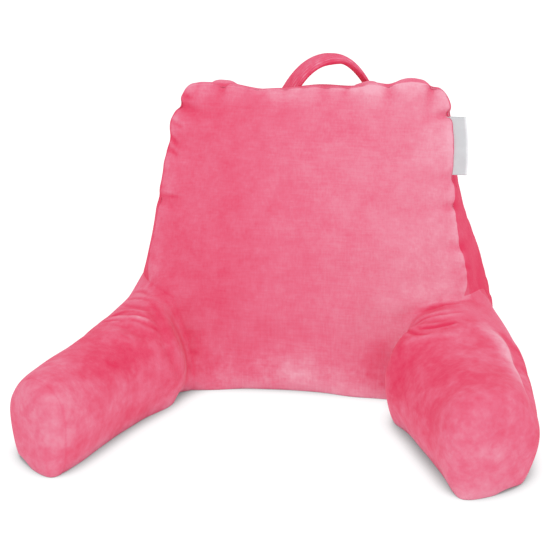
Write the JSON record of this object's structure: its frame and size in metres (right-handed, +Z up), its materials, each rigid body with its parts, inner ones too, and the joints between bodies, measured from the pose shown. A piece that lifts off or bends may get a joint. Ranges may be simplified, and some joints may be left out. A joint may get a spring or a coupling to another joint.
{
  "type": "reading pillow with arms",
  "caption": "Leaning bed backrest cushion with two short arms angled forward, a padded carry strap on its top and a folded satin tab in its side seam.",
  "frame": {"origin": "centre of the bounding box, on the surface that the pillow stands on", "axes": "+Z up from the surface; the arms reach forward along -Y; +X to the right of someone looking at its front"},
  "size_m": [0.7169, 0.5301, 0.4788],
  "materials": {
    "plush": "short-pile plush with a soft nap",
    "strap_plush": "short-pile plush, quilted along the band",
    "satin": "smooth woven satin ribbon"
  },
  "bodies": {
    "root": {"pillow": "plush", "handle": "strap_plush", "label": "satin"}
  },
  "joints": []
}
